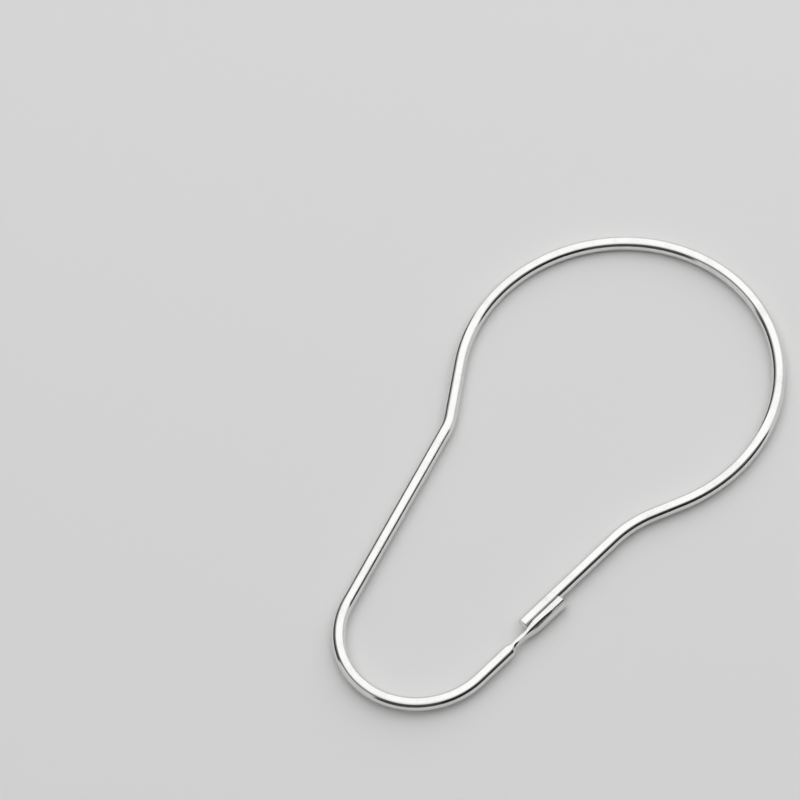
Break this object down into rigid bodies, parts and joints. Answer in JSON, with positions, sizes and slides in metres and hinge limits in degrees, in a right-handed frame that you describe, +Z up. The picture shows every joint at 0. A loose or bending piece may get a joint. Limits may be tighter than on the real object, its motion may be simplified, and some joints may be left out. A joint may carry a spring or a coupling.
{
  "type": "curtain hook",
  "caption": "Pear-shaped curtain hook bent from round spring wire: large rail loop, small curtain loop, and a plain leg that springs into a pressed channel catch.",
  "frame": {"origin": "centre of the large rail loop, in the plane of the wire's centreline", "axes": "+X along the hook towards the small curtain loop, +Y to the side of the catch, +Z up as the hook lies flat, along the axis of both loops"},
  "size_m": [0.0693, 0.0388, 0.0022],
  "materials": {
    "plated_wire": "bright plated steel spring wire"
  },
  "bodies": {
    "root": {"hook_wire": "plated_wire"}
  },
  "joints": []
}
